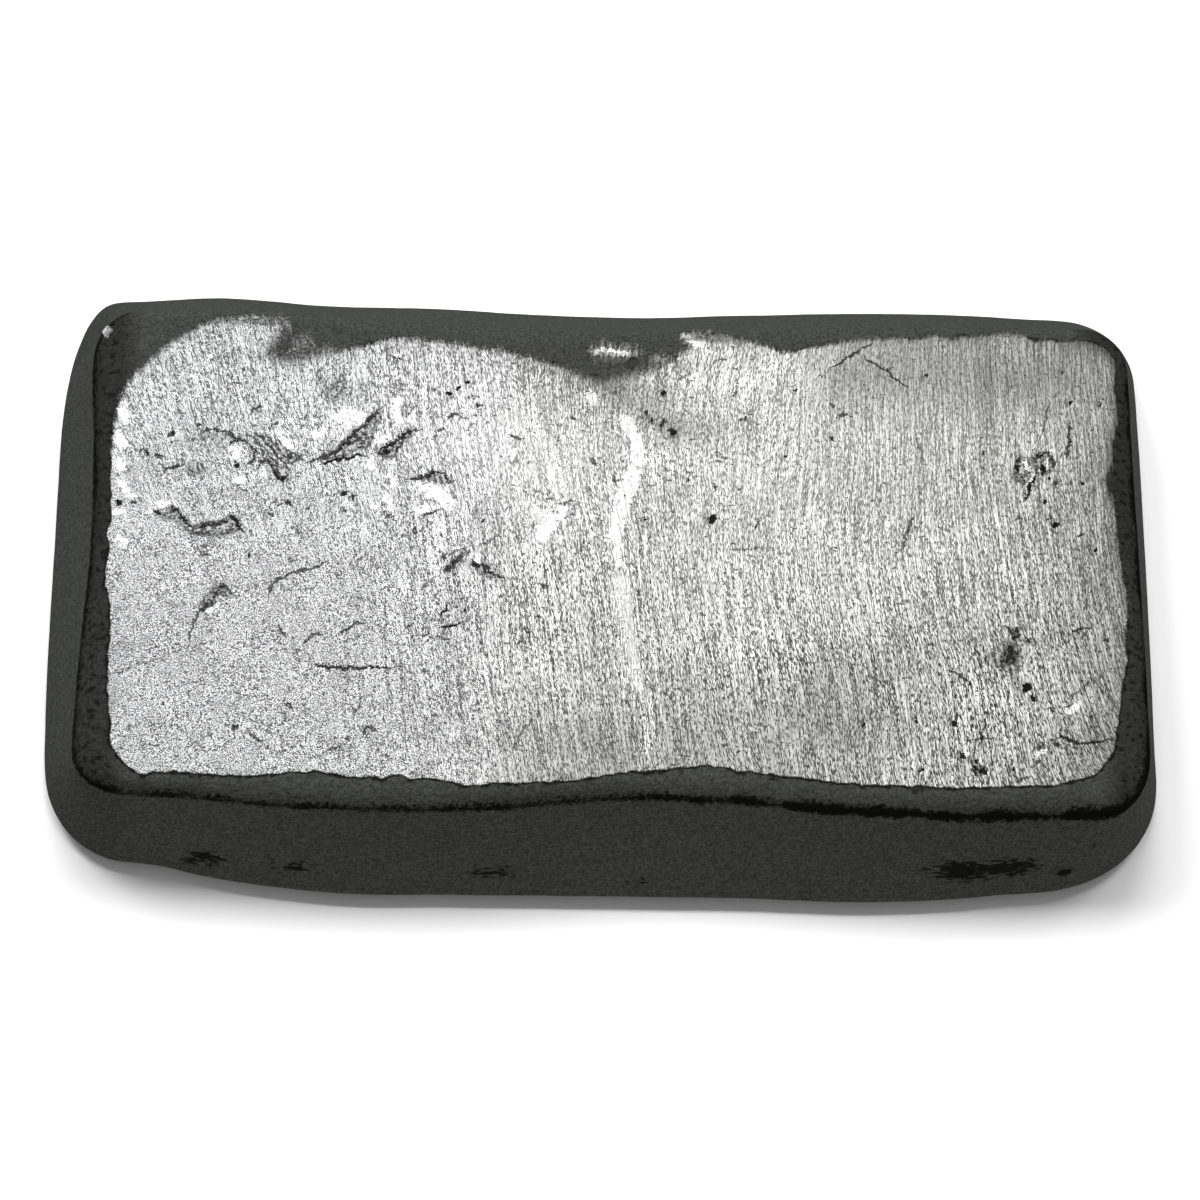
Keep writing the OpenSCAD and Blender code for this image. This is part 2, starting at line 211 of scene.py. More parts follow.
# Cracks, nicks and scratches: path, width, dark share if not the usual
LINES = [
    ([(386, 404), (371, 417), (362, 427), (350, 438), (345, 443), (335, 453), (320, 458), (304, 464)],
      3, 0.9),
    ([(319, 464), (330, 463), (340, 460), (350, 457), (360, 455), (369, 457)], 2.4, 1),
    ([(358, 449), (364, 440), (367, 431)], 2, 0.7), ([(345, 445), (354, 441), (362, 437)], 2.4),
    ([(284, 458), (292, 455), (297, 452)], 3, 0.9),
    ([(288, 464), (296, 461), (300, 457), (304, 462)], 2),
    ([(416, 429), (406, 433), (398, 439), (390, 445), (378, 451)], 3, 0.95),
    ([(404, 440), (398, 447), (392, 456)], 2.6), ([(377, 443), (376, 450), (384, 456)], 2.4, 0.7),
    ([(405, 481), (414, 480), (424, 476), (433, 473), (446, 473)], 2.4, 0.95),
    ([(444, 475), (455, 482)], 2.2), ([(448, 420), (451, 416), (458, 415), (466, 419)], 2, 0.9),
    ([(438, 431), (446, 429)], 2), ([(432, 438), (438, 436)], 2), ([(475, 404), (484, 408)], 2.8, 0.9),
    ([(468, 398), (482, 397)], 2, 0.6), ([(341, 493), (348, 494)], 2.8, 0.95),
    ([(350, 499), (356, 496)], 3.2, 0.95), ([(343, 508), (347, 512)], 2.6, 0.9),
    ([(312, 504), (305, 512)], 1.8), ([(422, 519), (428, 515), (434, 512), (442, 509)], 2, 0.9),
    ([(416, 526), (414, 534)], 3, 0.9), ([(481, 523), (484, 516)], 2.6, 0.95),
    ([(439, 532), (444, 537)], 2.8, 0.9), ([(405, 495), (412, 501)], 1.8, 0.7),
    ([(383, 519), (391, 515)], 1.8, 0.7), ([(397, 540), (404, 536), (412, 536)], 1.8, 0.6),
    ([(204, 433), (210, 430), (220, 430), (228, 433), (236, 438)], 2.6, 0.85),
    ([(229, 446), (232, 440), (240, 439), (247, 442), (253, 448), (255, 456), (251, 462), (246, 465)],
      2.6, 0.9),
    ([(246, 431), (257, 442), (268, 454), (280, 468)], 2),
    ([(252, 430), (266, 443), (279, 457), (292, 471)], 2, 0.9),
    ([(255, 471), (260, 464), (266, 461), (272, 467), (278, 476), (284, 482)], 2.4, 0.95),
    ([(262, 434), (274, 445), (286, 458), (296, 467)], 1.8),
    ([(257, 447), (268, 459), (281, 474)], 1.8), ([(276, 440), (285, 447), (292, 455)], 2.4),
    ([(195, 425), (204, 424)], 2.4, 0.9), ([(166, 437), (176, 433)], 3, 0.9),
    ([(154, 457), (164, 454)], 2.4, 0.9), ([(161, 476), (168, 470), (178, 466), (185, 463)], 2.2, 0.9),
    ([(137, 451), (146, 450), (151, 456)], 2, 0.85), ([(153, 509), (161, 513)], 2.6, 0.95),
    ([(170, 506), (177, 510), (184, 520), (194, 528)], 3, 0.95),
    ([(229, 513), (236, 522), (244, 532)], 2.8, 0.95), ([(196, 527), (212, 523), (228, 522)], 2.2),
    ([(249, 415), (255, 408), (263, 406)], 2.4, 0.9), ([(257, 436), (266, 432)], 2, 0.7),
    ([(251, 423), (258, 425)], 2, 0.7), ([(270, 427), (278, 421)], 2.2),
    ([(269, 504), (277, 501)], 2, 0.9), ([(277, 507), (284, 504)], 2, 0.85),
    ([(286, 501), (292, 506)], 2.6, 0.95), ([(267, 511), (274, 516)], 2, 0.85),
    ([(249, 527), (254, 537)], 1.8, 0.7), ([(131, 501), (137, 504)], 3, 0.9),
    ([(199, 557), (206, 554), (213, 556)], 1.8), ([(191, 541), (199, 540)], 1.8, 0.7),
    ([(202, 545), (207, 551)], 2.2, 0.7), ([(130, 533), (135, 537)], 2.4, 0.85),
    ([(180, 431), (186, 429)], 2, 0.7), ([(444, 571), (450, 565), (457, 560), (464, 556)], 3.4),
    ([(472, 558), (477, 565), (484, 566), (492, 572), (506, 577)], 2.8, 0.95),
    ([(446, 557), (455, 552), (463, 549), (472, 544)], 1.8, 0.7),
    ([(476, 547), (482, 544), (490, 541), (499, 533)], 1.8, 0.65),
    ([(443, 549), (444, 561)], 2.2, 0.85), ([(418, 590), (428, 584), (437, 576)], 1.8, 0.65),
    ([(439, 614), (444, 610), (449, 604)], 2.2, 1), ([(428, 618), (434, 620), (440, 618)], 1.8, 0.7),
    ([(439, 627), (449, 628), (455, 624), (463, 621)], 2.2, 1), ([(463, 621), (471, 616)], 1.8, 0.5),
    ([(419, 632), (426, 627)], 2.2, 0.9), ([(419, 636), (428, 634)], 2, 0.85),
    ([(434, 637), (440, 636), (446, 639)], 1.8, 0.75), ([(405, 629), (413, 624)], 2.2, 0.85),
    ([(453, 608), (461, 605)], 2, 0.85), ([(491, 601), (499, 602)], 1.8, 0.6),
    ([(431, 602), (441, 590)], 1.8, 0.5), ([(522, 627), (531, 633)], 2.6),
    ([(516, 645), (522, 641), (528, 644)], 2, 0.75), ([(543, 583), (546, 589)], 2.6, 0.9),
    ([(537, 617), (543, 616)], 2), ([(478, 596), (482, 640), (487, 662)], 1.8, 0.65),
    ([(487, 662), (495, 700), (503, 736)], 1.8, 0.65),
    ([(312, 664), (330, 667), (350, 668), (403, 667)], 2.2, 0.95),
    ([(339, 635), (350, 626), (364, 623)], 2.2, 0.85),
    ([(302, 647), (312, 636), (325, 634)], 2.2, 0.85),
    ([(329, 559), (317, 566), (300, 571), (280, 578), (270, 588), (267, 597)], 2.4, 0.85),
    ([(187, 648), (190, 632), (200, 612), (211, 601), (222, 584), (234, 595)], 2.2),
    ([(112, 673), (150, 660), (187, 648)], 1.6, 0.5),
    ([(206, 606), (214, 596), (221, 592), (228, 596)], 2, 0.7), ([(284, 703), (294, 708)], 2.6, 0.85),
    ([(231, 729), (240, 724)], 2.6, 0.9), ([(249, 733), (263, 742)], 2.4, 0.85),
    ([(367, 738), (364, 730), (370, 727), (377, 732)], 2.2, 0.85), ([(511, 751), (534, 715)], 2, 0.7),
    ([(507, 435), (525, 438)], 2.6, 0.85), ([(558, 505), (573, 501)], 2.4, 0.75),
    ([(728, 549), (768, 549)], 1.6, 0.65), ([(713, 454), (726, 457), (737, 459)], 1.6, 0.6),
    ([(713, 482), (715, 492)], 2.8, 0.95), ([(689, 476), (690, 482)], 2.2),
    ([(666, 431), (672, 429), (680, 434)], 3, 0.95), ([(591, 458), (597, 465)], 2.4),
    ([(612, 473), (616, 481), (622, 480)], 2.2), ([(731, 398), (737, 391)], 2, 0.7),
    ([(757, 528), (761, 518)], 2.2, 0.7), ([(829, 368), (850, 357), (874, 342)], 2, 0.9),
    ([(863, 355), (885, 371), (909, 387)], 2, 0.9), ([(829, 401), (835, 409)], 2.4, 0.85),
    ([(837, 419), (847, 412)], 2.4, 0.85), ([(1049, 402), (1045, 422), (1040, 441)], 2),
    ([(1069, 420), (1069, 440), (1065, 459)], 2.4, 0.9),
    ([(916, 516), (908, 532), (901, 550)], 2.6, 0.85),
    ([(1036, 475), (1031, 487), (1024, 502)], 3.6, 1), ([(917, 437), (920, 452), (923, 466)], 2, 0.7),
    ([(1018, 472), (1017, 463), (1021, 455)], 2.4, 0.9),
    ([(1034, 460), (1042, 454), (1048, 453), (1053, 459), (1055, 468)], 3, 0.9),
    ([(1042, 461), (1043, 470), (1042, 476)], 3, 1), ([(1020, 473), (1027, 482)], 2.4, 0.9),
    ([(1055, 485), (1061, 481)], 2.4), ([(1046, 520), (1052, 515)], 2), ([(1015, 521), (1021, 516)], 2),
    ([(1077, 537), (1087, 535)], 2, 0.85), ([(980, 465), (985, 470)], 2),
    ([(947, 671), (957, 674), (964, 678), (973, 688)], 2.2, 0.9), ([(962, 683), (971, 691)], 2.2, 0.85),
    ([(955, 716), (961, 714)], 2), ([(960, 753), (968, 757)], 2.8, 0.9),
    ([(974, 763), (975, 775)], 2.8, 1), ([(979, 768), (986, 775)], 4, 1),
    ([(989, 765), (996, 762)], 2.2), ([(980, 731), (985, 726)], 2.2),
    ([(965, 744), (972, 739), (984, 738), (1001, 739)], 1.8), ([(1025, 644), (1032, 637)], 3.4, 0.9),
    ([(1002, 626), (1012, 633), (1019, 638)], 2.8),
    ([(1054, 741), (1061, 737), (1070, 740), (1078, 743), (1090, 741), (1112, 740)], 2.6, 0.95),
    ([(1049, 740), (1056, 744), (1063, 749)], 2.6, 0.9), ([(1034, 747), (1045, 745)], 2.2),
    ([(1031, 776), (1017, 781)], 2.4), ([(1031, 767), (1041, 761)], 2.2, 0.7),
    ([(1071, 634), (1080, 629), (1093, 627)], 1.8, 0.85), ([(1102, 641), (1110, 639)], 2.6),
    ([(1067, 701), (1074, 694), (1084, 687), (1091, 679)], 2, 0.7), ([(1047, 710), (1057, 709)], 2.4),
    ([(1063, 707), (1071, 705)], 2), ([(1093, 679), (1105, 693)], 1.8, 0.6),
    ([(1089, 717), (1097, 713)], 1.8, 0.7), ([(1087, 729), (1093, 723)], 2, 0.7),
    ([(390, 354), (395, 358), (405, 361)], 2.4), ([(991, 338), (990, 390), (992, 434)], 1.8, 0.35),
    ([(384, 590), (386, 650), (388, 715)], 1.3, 0.5), ([(397, 640), (402, 700), (406, 748)], 1.3, 0.5),
    ([(411, 600), (413, 660), (417, 720)], 1.2, 0.4), ([(456, 640), (460, 690), (466, 750)], 1.2, 0.4),
    ([(277, 623), (282, 632), (288, 636)], 2), ([(352, 705), (358, 712), (362, 700)], 2),
    ([(325, 748), (334, 749), (340, 746)], 2), ([(345, 742), (348, 735)], 2.4, 0.9),
]
# Pits: radius, centres
PITS = {
    2.5: [(757, 527), (1012, 389), (575, 416), (746, 417), (1068, 641), (1083, 483), (307, 444),
        (464, 611)],
    3: [(458, 387), (477, 405), (173, 433), (147, 453), (646, 519), (583, 542), (1071, 403),
        (1099, 404), (1062, 371), (976, 761), (922, 770), (917, 720), (864, 725), (1096, 549),
        (1057, 483), (796, 391), (833, 438), (785, 457), (926, 377), (984, 452), (1050, 479),
        (740, 419), (249, 555), (345, 494)],
    3.5: [(450, 392), (468, 382), (964, 755), (1012, 769), (1045, 501), (836, 549), (349, 443)],
    4: [(664, 393), (981, 771), (954, 724), (1034, 699), (1056, 525), (1043, 468), (284, 478),
        (386, 452)],
    4.5: [(120, 502), (673, 432)],
    5: [(236, 464)],
    5.5: [(713, 519)],
    6.5: [(1027, 688)],
}
# Beads: centre, radius, rise
BOSSES = [((242, 454), 12, 0.24), ((1027, 467), 7, 0.08)]
# Soot in the brushed metal, and painted shade in the scoop: centre, reach across and down, dark share
STAINS_AND_SHADE = [
    ((1011, 655), 15, 16, 0.75), ((1015, 634), 14, 6, 0.5), ((628, 364), 15, 6, 0.95),
    ((205, 552), 7, 8, 0.4), ((593, 461), 10, 12, 0.35), ((155, 445), 18, 14, 0.3),
    ((283, 476), 7, 6, 0.5), ((1017, 478), 6, 5, 0.6), ((213, 528), 16, 6, 0.35),
    ((352, 441), 10, 6, 0.35), ((388, 452), 9, 5, 0.35), ((650, 352), 18, 7, 0.4),
    ((597, 374), 14, 5, 0.6), ((613, 388), 14, 6, 0.5), ((645, 412), 22, 9, 0.5),
    ((664, 424), 18, 8, 0.5), ((330, 395), 6, 7, 0.4),
]
# Painted shade of the bright face, and some darker tone: path, width, share; below nought it lightens, a
# painted highlight
SHADES = [
    ([(590, 380), (615, 395), (640, 410), (675, 432)], 16, 0.32),
    ([(605, 372), (645, 384), (668, 400)], 16, 0.22), ([(676, 432), (725, 430)], 14, 0.3),
    ([(690, 362), (760, 360)], 8, 0.25), ([(120, 640), (112, 700)], 10, 0.15),
    ([(985, 345), (984, 430)], 8, 0.15), ([(800, 690), (900, 660), (990, 640)], 22, 0.14),
    ([(1105, 360), (1108, 560), (1110, 720)], 55, 0.38),
    ([(860, 730), (700, 740), (560, 755)], 60, 0.43),
    ([(620, 580), (625, 615), (630, 645), (639, 680), (646, 702), (650, 724)], 6, -0.5),
    ([(652, 736), (644, 752)], 8, -0.5), ([(490, 420), (560, 470)], 55, -0.1),
    ([(960, 770), (1080, 760)], 26, 0.16), ([(180, 450), (215, 450)], 34, 0.16),
    ([(170, 370), (420, 380)], 40, 0.06), ([(860, 370), (1040, 375)], 45, 0.55),
    ([(720, 490), (980, 480)], 70, 0.12),
]
# Where the strokes stand out more or less: centre, reach across and down, change
CONTRASTS = [
    ((515, 440), 110, 80, -0.4), ((900, 370), 170, 70, -0.4), ((880, 480), 200, 120, -0.35),
    ((700, 500), 90, 100, -0.15), ((1000, 700), 210, 90, 0.2), ((760, 720), 170, 70, 0.15),
    ((400, 650), 160, 120, 0.1), ((1080, 400), 60, 60, -0.2),
]
# Polished places, whose white is partly a painted highlight: path, width, rise if not the usual
POLISHED_HIGHLIGHTS = [
    ([(624, 421), (632, 430), (637, 441), (638, 453)], 12, 0.015),
    ([(638, 453), (636, 465), (633, 476)], 15), ([(632, 478), (627, 490), (621, 506)], 18),
    ([(621, 506), (617, 520), (616, 536)], 15), ([(616, 536), (619, 547), (618, 563)], 9, 0.015),
    ([(543, 534), (548, 520)], 17), ([(560, 515), (563, 510)], 12), ([(537, 507), (540, 513)], 7, 0.01),
    ([(590, 396), (594, 402)], 12), ([(512, 450), (512, 456)], 9), ([(551, 469), (551, 475)], 8),
    ([(427, 490), (437, 492), (444, 497), (446, 504)], 14), ([(385, 497), (391, 508)], 8),
    ([(371, 508), (380, 508)], 6, 0.01), ([(364, 462), (373, 468)], 8),
    ([(390, 477), (393, 483)], 7, 0.01), ([(340, 416), (352, 414), (362, 417)], 14),
    ([(345, 426), (358, 424)], 9), ([(317, 434), (323, 429)], 8),
    ([(398, 400), (396, 412), (398, 421)], 10), ([(377, 439), (383, 442), (391, 436)], 9),
    ([(419, 511), (428, 508)], 8, 0.01), ([(409, 417), (401, 425)], 7), ([(122, 412), (126, 419)], 11),
    ([(119, 435), (122, 442)], 12), ([(119, 461), (121, 467)], 10),
    ([(121, 483), (124, 490), (134, 496)], 7), ([(112, 514), (122, 511)], 7),
    ([(234, 449), (236, 456)], 12, 0.01), ([(159, 504), (166, 502)], 8), ([(235, 481), (242, 479)], 9),
    ([(279, 430), (284, 440), (291, 449)], 8), ([(119, 538), (122, 543)], 9),
    ([(262, 470), (264, 476)], 7, 0.01), ([(209, 610), (222, 597)], 4, 0.01),
    ([(684, 336), (692, 342), (702, 345)], 8, 0), ([(596, 352), (612, 350), (626, 353)], 6, 0),
    ([(1046, 466), (1048, 461)], 4), ([(1025, 462), (1027, 468)], 6), ([(1038, 468), (1030, 481)], 4),
    ([(1068, 711), (1078, 706)], 8), ([(1036, 754), (1044, 750)], 7), ([(477, 553), (478, 560)], 6),
    ([(240, 317), (262, 315)], 6, 0), ([(286, 350), (296, 352)], 5, 0.01),
]
# Soot on the front side: centre, reach across and down, dark share
SIDE_SOOT = [
    ((205, 859), 26, 5, 0.9), ((292, 865), 34, 5, 0.8), ((495, 872), 30, 5, 0.7),
    ((640, 880), 12, 4, 0.7), ((850, 873), 70, 2.5, 0.8), ((960, 871), 26, 9, 1.0),
    ((1010, 867), 34, 8, 0.9), ((1065, 872), 8, 5, 1.0), ((1090, 850), 14, 6, 0.5),
    ((400, 868), 20, 3, 0.5), ((735, 880), 24, 3, 0.5),
]


# Camera

def level_axes(back):
    """Right and up of something that looks against back, with its up along the row's Y."""
    right = np.cross([0.0, 1.0, 0.0], back)
    right /= np.linalg.norm(right)
    return right, np.cross(back, right)


def camera_axes():
    """Right, up and back of the camera in the row frame."""
    back = np.array([-math.sin(CAMERA_SIDE), -math.sin(CAMERA_TILT), 0.0])
    back[2] = math.sqrt(1 - back @ back)
    right, up = level_axes(back)
    c, s = math.cos(CAMERA_ROLL), math.sin(CAMERA_ROLL)
    return c * right - s * up, s * right + c * up, back


def camera_place():
    right, up, back = camera_axes()
    return back * CAMERA_DISTANCE + right * AIM_RIGHT + up * AIM_UP


def seen_from_camera(points):
    """Where points lie in the photograph, in millimetres of the bar from its top left corner."""
    right, up, back = camera_axes()
    ray = points - camera_place()
    depth = -(ray @ back)
    across = PHOTO_SIDE / 2 + FOCAL_PIXELS * (ray @ right) / depth
    down = PHOTO_SIDE / 2 - FOCAL_PIXELS * (ray @ up) / depth
    return np.column_stack([across, down]) / PIXELS_PER_MM


def in_mm(places):
    return np.asarray(places) / PIXELS_PER_MM


def turned(right, up, back, place):
    """Matrix of an object that looks along its own minus Z, from its axes and place."""
    return Matrix.Translation(place) @ Matrix([right, up, back]).transposed().to_4x4()


def add_object(name, data):
    thing = bpy.data.objects.new(name, data)
    bpy.context.scene.collection.objects.link(thing)
    return thing


def make_camera():
    data = bpy.data.cameras.new("camera")
    data.sensor_width = SENSOR_MM
    data.lens = LENS_MM
    data.clip_start = 0.01
    camera = add_object("camera", data)
    camera.matrix_world = turned(*camera_axes(), camera_place())
    bpy.context.scene.camera = camera


# Skin of the bar

def rim_columns():
    """Base points and outward normals round a plain rounded rectangle, from the front left corner."""
    r = NOMINAL_CORNER
    bend = r * math.pi / 4
    corners = np.array([(-1, -1), (1, -1), (1, 1), (-1, 1)]) * [LENGTH / 2 - r, WIDTH / 2 - r]
    bases, normals = [], []
    for side, (start, end) in enumerate(zip(corners, np.roll(corners, -1, axis=0))):
        cells = TOP_CELLS_Y if side % 2 else TOP_CELLS_X
        run = np.linalg.norm(end - start)
        along = np.arange(cells) / cells * (run + 2 * bend) - bend
        turn = (np.minimum(along, 0) + np.maximum(along - run, 0)) / r
        angle = math.radians(90 * (side - 1)) + turn
        bases.append(start + np.clip(along / run, 0, 1)[:, None] * (end - start))
        normals.append(np.column_stack([np.cos(angle), np.sin(angle)]))
    return np.vstack(bases), np.vstack(normals)


def smooth_round(ring, passes):
    for _ in range(passes):
        ring = (ring * 2 + np.roll(ring, 1, axis=0) + np.roll(ring, -1, axis=0)) / 4
    return ring


def ease(share):
    return share * share * (3 - 2 * share)


def fade(value, middle, reach):
    """One well below the middle, nought well above it."""
    return 1 / (1 + np.exp((value - middle) / reach))


def spot(seen, centre, reach_x, reach_y):
    """One at a place of the photograph, falling off over a reach across and down."""
    offset = (seen * PIXELS_PER_MM - centre) / (reach_x, reach_y)
    return np.exp(-np.sum(offset ** 2, axis=1))


def lattice_noise(xy, pitch, seed):
    """Smooth noise between -1 and 1 whose swells are about a pitch apart."""
    size = 256
    table = np.random.default_rng(seed).uniform(-1, 1, (size, size))
    cell = xy / pitch + size / 2
    base = np.floor(cell).astype(int)
    u, v = ease(cell - base).T
    i, j = base.T % size
    i2, j2 = (i + 1) % size, (j + 1) % size
    near = table[i, j] * (1 - u) + table[i2, j] * u
    far = table[i, j2] * (1 - u) + table[i2, j2] * u
    return near * (1 - v) + far * v


def side_rings(tree):
    """Rings of points round the sides, from the resting face up to the crease."""
    bases, normals = rim_columns()
    round_mm = np.arange(len(bases)) * RIM_STEP_MM
    rings = []
    for share in SIDE_LEVEL_SHARES:
        z = LOW.z + share * HEIGHT
        ring = []
        for base, normal in zip(bases, normals):
            start = (base[0] + normal[0] * LENGTH, base[1] + normal[1] * LENGTH, z)
            place = tree.ray_cast(start, (-normal[0], -normal[1], 0))[0]
            ring.append((place.x, place.y))
        ring = smooth_round(np.array(ring), RING_PASSES)
        level = np.full(len(ring), z)
        swell = lattice_noise(np.column_stack([round_mm / 4, level / MM]), 1.3, 11)
        swell += 0.5 * lattice_noise(np.column_stack([round_mm, level / MM]), 1.1, 12)
        ring += normals * ((swell - 1.5) * SIDE_SWELL_MM * MM * min(1, share * 8))[:, None]
        rings.append(np.column_stack([ring, level]))
    rings[0][:, 2] = LOW.z
    return rings


def rim_cells():
    """Grid places of the rim's columns, in the order of rim_columns."""
    nx, ny = TOP_CELLS_X, TOP_CELLS_Y
    return (
        [(i, 0) for i in range(nx)] + [(nx, j) for j in range(ny)]
        + [(nx - i, ny) for i in range(nx)] + [(0, ny - j) for j in range(ny)]
    )


def patch_in_rim(rim):
    """Plan points of a grid whose edges follow the rim, blended between facing edges."""
    nx, ny = TOP_CELLS_X, TOP_CELLS_Y
    plan = np.zeros((nx + 1, ny + 1, 2))
    for (i, j), place in zip(rim_cells(), rim):
        plan[i, j] = place
    u = np.linspace(0, 1, nx + 1)[:, None, None]
    v = np.linspace(0, 1, ny + 1)[None, :, None]
    front, rear = plan[:, :1], plan[:, -1:]
    left, right = plan[:1], plan[-1:]
    corners = (
        (1 - u) * (1 - v) * plan[0, 0] + u * (1 - v) * plan[-1, 0]
        + (1 - u) * v * plan[0, -1] + u * v * plan[-1, -1]
    )
    return (1 - v) * front + v * rear + (1 - u) * left + u * right - corners


def smooth_grid(z, passes):
    for _ in range(passes):
        inner = z[1:-1, 1:-1]
        ring = z[:-2, 1:-1] + z[2:, 1:-1] + z[1:-1, :-2] + z[1:-1, 2:]
        z = z.copy()
        z[1:-1, 1:-1] = inner / 2 + ring / 8
    return z


def steps_from_end(cells):
    return np.minimum(np.arange(cells + 1), cells - np.arange(cells + 1))


def top_grid(tree, rim):
    """Points of the top, smooth where the solid's facets are coarse."""
    plan = patch_in_rim(rim[:, :2])
    z = np.full(plan.shape[:2], rim[0, 2])
    for i in range(1, TOP_CELLS_X):
        for j in range(1, TOP_CELLS_Y):
            x, y = plan[i, j]
            z[i, j] = tree.ray_cast((x, y, HIGH.z + HEIGHT), (0, 0, -1))[0].z
    steps_in = np.minimum.outer(steps_from_end(TOP_CELLS_X), steps_from_end(TOP_CELLS_Y))
    crisp = smooth_grid(z, TOP_PASSES)
    calm = smooth_grid(crisp, MIDDLE_PASSES)
    weight = np.clip((steps_in - MIDDLE_START) / MIDDLE_FADE, 0, 1)
    return np.dstack([plan, crisp + (calm - crisp) * weight])


# Marks worked into the top of the skin

def polygon_depth(points, polygon):
    """Distance of plan points to a closed polygon's edge, positive inside."""
    nearest = np.full(len(points), np.inf)
    inside = np.zeros(len(points), bool)
    for a, b in zip(polygon, np.roll(polygon, -1, axis=0)):
        along = b - a
        share = np.clip(((points - a) @ along) / (along @ along), 0, 1)
        gap = np.linalg.norm(points - a - share[:, None] * along, axis=1)
        nearest = np.minimum(nearest, gap)
        crosses = (a[1] > points[:, 1]) != (b[1] > points[:, 1])
        with np.errstate(divide="ignore", invalid="ignore"):
            x = a[0] + (points[:, 1] - a[1]) * along[0] / along[1]
        inside ^= crosses & (points[:, 0] < x)
    return np.where(inside, nearest, -nearest)


def rounded_path(path):
    """Points in mm along a smooth curve through a path."""
    path = in_mm(path)
    padded = np.vstack([2 * path[0] - path[1], path, 2 * path[-1] - path[-2]])
    steps = np.linspace(0, 1, 6)[:-1, None]
    pieces = []
    for p0, p1, p2, p3 in zip(padded, padded[1:], padded[2:], padded[3:]):
        bend = 2 * p0 - 5 * p1 + 4 * p2 - p3
        twist = 3 * (p1 - p2) + p3 - p0
        pieces.append(p1 + steps * (p2 - p0 + steps * (bend + steps * twist)) / 2)
    return np.vstack(pieces + [path[-1:]])


